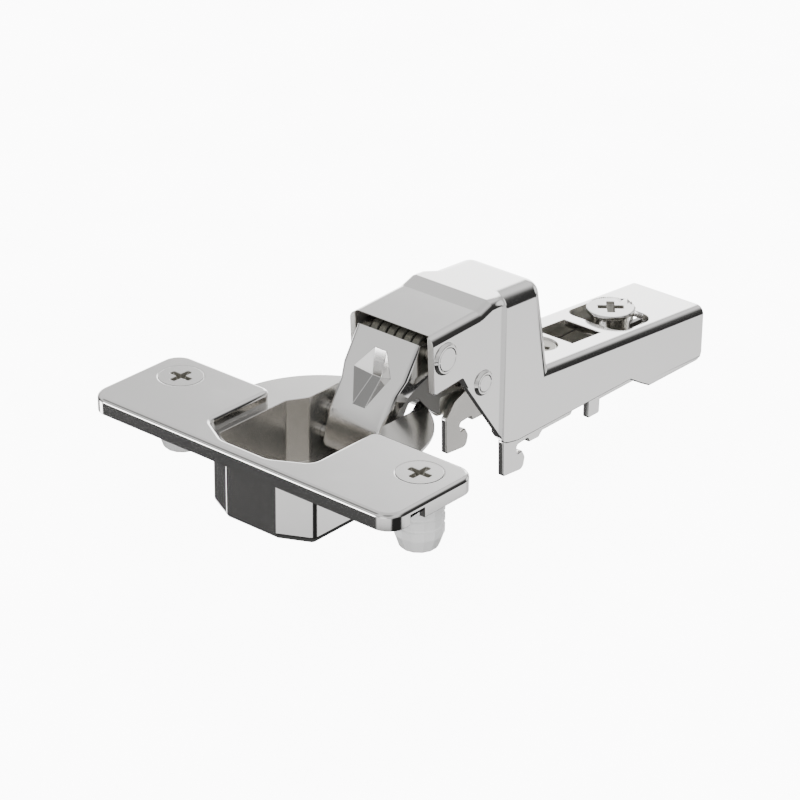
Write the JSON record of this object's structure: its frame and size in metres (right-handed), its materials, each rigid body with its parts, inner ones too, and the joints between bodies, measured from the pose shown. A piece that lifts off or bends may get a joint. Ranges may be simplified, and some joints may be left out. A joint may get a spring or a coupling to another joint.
{
  "type": "concealed cup hinge",
  "caption": "Concealed cup hinge for an inset door, cranked clip-on arm, four-bar linkage, wing plate and press-in dowels, stored open at a right angle.",
  "frame": {"origin": "on the axis of the 35 mm cup, in the plane of the door face that the cup's rim rests on", "axes": "+X from the cup towards the arm, +Y along the wing plate, +Z away from the door face"},
  "size_m": [0.1157, 0.0656, 0.0365],
  "materials": {
    "bright_nickel": "bright nickel plate on pressed steel, slightly soft reflections",
    "dark_nickel": "nickel-plated steel in the shade, duller",
    "pin_steel": "plain turned steel",
    "spring_steel": "oiled dark spring wire",
    "white_plastic": "translucent white moulded plastic"
  },
  "bodies": {
    "cup": {"wing_plate": "bright_nickel", "cup_shell": "bright_nickel", "screw_left": "bright_nickel", "screw_right": "bright_nickel", "dowel_left": "white_plastic", "dowel_right": "white_plastic", "outer_link_pin": "pin_steel", "inner_link_pin": "pin_steel"},
    "front_link": {"outer_link": "bright_nickel"},
    "rear_link": {"inner_link": "dark_nickel"},
    "arm": {"arm_channel": "bright_nickel", "big_rivet": "bright_nickel", "small_rivet": "bright_nickel", "torsion_spring": "spring_steel"},
    "overlay": {"overlay_screw": "bright_nickel"},
    "carrier": {"clip_carrier": "bright_nickel", "latch_pin": "pin_steel", "latch_spring": "spring_steel"},
    "cam": {"depth_cam": "bright_nickel"},
    "latch": {"latch_lever": "dark_nickel"}
  },
  "joints": [
    {"name": "door_swing", "type": "hinge", "parent": "cup", "child": "front_link", "pos_m": [0.01013, 0, -0.007], "axis": [0, -1, 0], "range_deg": [-4.81, 86.58]},
    {"name": "arm_on_front_link", "type": "hinge", "parent": "front_link", "child": "arm", "pos_m": [0.0209, 0, 0.0078], "axis": [0, -1, 0], "range_deg": [-0.25, 3.5]},
    {"name": "rear_link_swing", "type": "hinge", "parent": "cup", "child": "rear_link", "pos_m": [0.01173, 0, -0.00349], "axis": [0, -1, 0], "range_deg": [-5.8, 103.4]},
    {"name": "overlay_turn", "type": "hinge", "parent": "arm", "child": "overlay", "pos_m": [0.057, 0, -0.006], "axis": [0, 0, 1], "range_deg": [-360, 360]},
    {"name": "depth_slide", "type": "slide", "parent": "arm", "child": "carrier", "axis": [1, 0, 0], "range_m": [-0.0015, 0.0015]},
    {"name": "depth_turn", "type": "hinge", "parent": "carrier", "child": "cam", "pos_m": [0.0783, 0, -0.006], "axis": [0, 0, 1], "range_deg": [-120, 120]},
    {"name": "latch_release", "type": "hinge", "parent": "carrier", "child": "latch", "pos_m": [0.0846, 0, -0.0151], "axis": [0, -1, 0], "range_deg": [0, 12], "stiffness_Nm_per_rad": 0.06, "springref_deg": -14.32}
  ],
  "couplings": [
    {"joint": "arm_on_front_link", "follows": "door_swing", "ratio": 0.039501},
    {"joint": "rear_link_swing", "follows": "door_swing", "ratio": 1.1933},
    {"joint": "depth_turn", "follows": "depth_slide", "rad_per_m": 1396.3}
  ]
}
